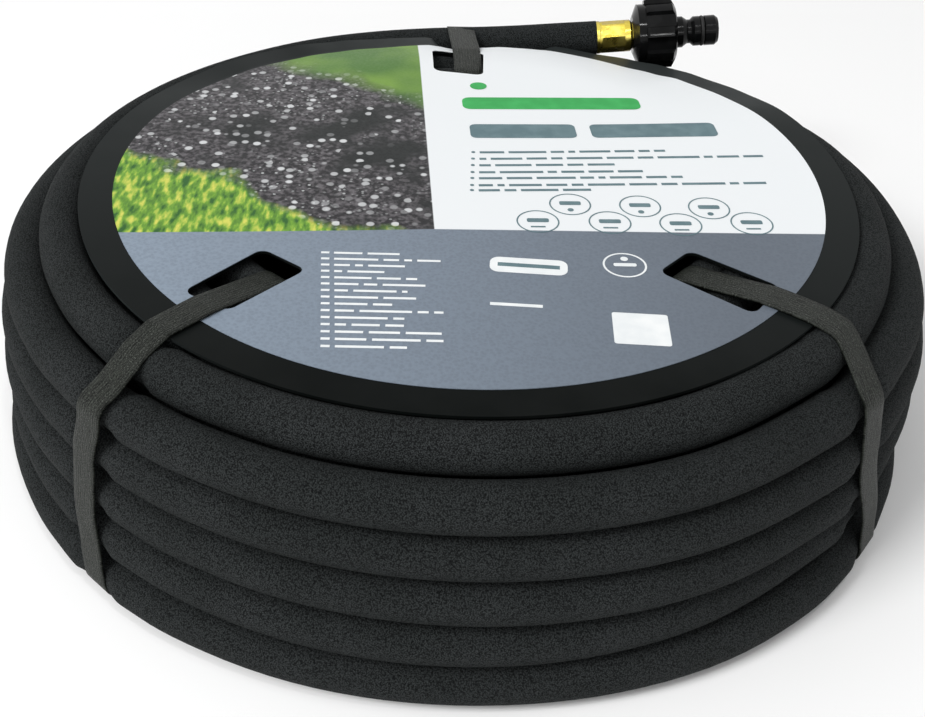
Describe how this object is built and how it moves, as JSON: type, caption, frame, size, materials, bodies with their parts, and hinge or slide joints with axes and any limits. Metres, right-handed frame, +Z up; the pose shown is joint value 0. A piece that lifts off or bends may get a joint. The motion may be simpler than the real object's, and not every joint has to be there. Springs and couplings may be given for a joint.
{
  "type": "soaker hose",
  "caption": "Porous soaker hose wound in a strapped round coil under a label disc, with a brass-crimped swivel nut and quick-connect nose at the inlet and a screw cap at the far end.",
  "frame": {"origin": "on the floor at the middle of the coil", "axes": "+Z up along the coil's axis, +Y towards the back, where the inlet end leaves the coil, +X to the right, the way the inlet's nose points"},
  "size_m": [0.414, 0.414, 0.1223],
  "materials": {
    "hose": "matte porous",
    "disc": "gloss",
    "print": "satin laminate",
    "strap": "ribbed",
    "brass": "bright",
    "coupling": "gloss",
    "seal": "smooth"
  },
  "bodies": {
    "coil": {"hose_core": "hose", "hose_outer_turns": "hose", "hose_inlet_end": "hose", "hose_far_end": "hose", "label_disc": "disc", "label_print": "print", "strap_left": "strap", "strap_right": "strap", "strap_back": "strap", "inlet_ferrule": "brass", "inlet_tail": "brass", "end_ferrule": "brass", "end_tail": "brass", "inlet_washer": "seal"},
    "nut": {"coupling_nut": "coupling"},
    "nose_seal": {"nose_o_ring": "seal"},
    "nose": {"nose_adapter": "coupling"},
    "cap_seal": {"cap_washer": "seal"},
    "cap": {"end_cap": "coupling"}
  },
  "joints": [
    {"name": "nut_swivel", "type": "hinge", "parent": "coil", "child": "nut", "pos_m": [0.10082, 0.17159, 0.10348], "axis": [0.9947, 0.0271, 0.0995], "continuous": true},
    {"name": "nose_travel", "type": "slide", "parent": "nut", "child": "nose_seal", "axis": [0.9947, 0.0271, 0.0995], "range_m": [0, 0.0146]},
    {"name": "nose_unscrew", "type": "hinge", "parent": "nose_seal", "child": "nose", "pos_m": [0.11276, 0.17192, 0.10468], "axis": [0.9947, 0.0271, 0.0995], "range_deg": [0, 2880]},
    {"name": "cap_travel", "type": "slide", "parent": "coil", "child": "cap_seal", "axis": [0.8894, 0.4561, 0.0319], "range_m": [0, 0.0128]},
    {"name": "cap_unscrew", "type": "hinge", "parent": "cap_seal", "child": "cap", "pos_m": [0.06413, -0.03404, 0.01932], "axis": [0.8894, 0.4561, 0.0319], "range_deg": [0, 2520]}
  ],
  "couplings": [
    {"joint": "nose_travel", "follows": "nose_unscrew", "m_per_rad": 0.00028876},
    {"joint": "cap_travel", "follows": "cap_unscrew", "m_per_rad": 0.00028876}
  ]
}
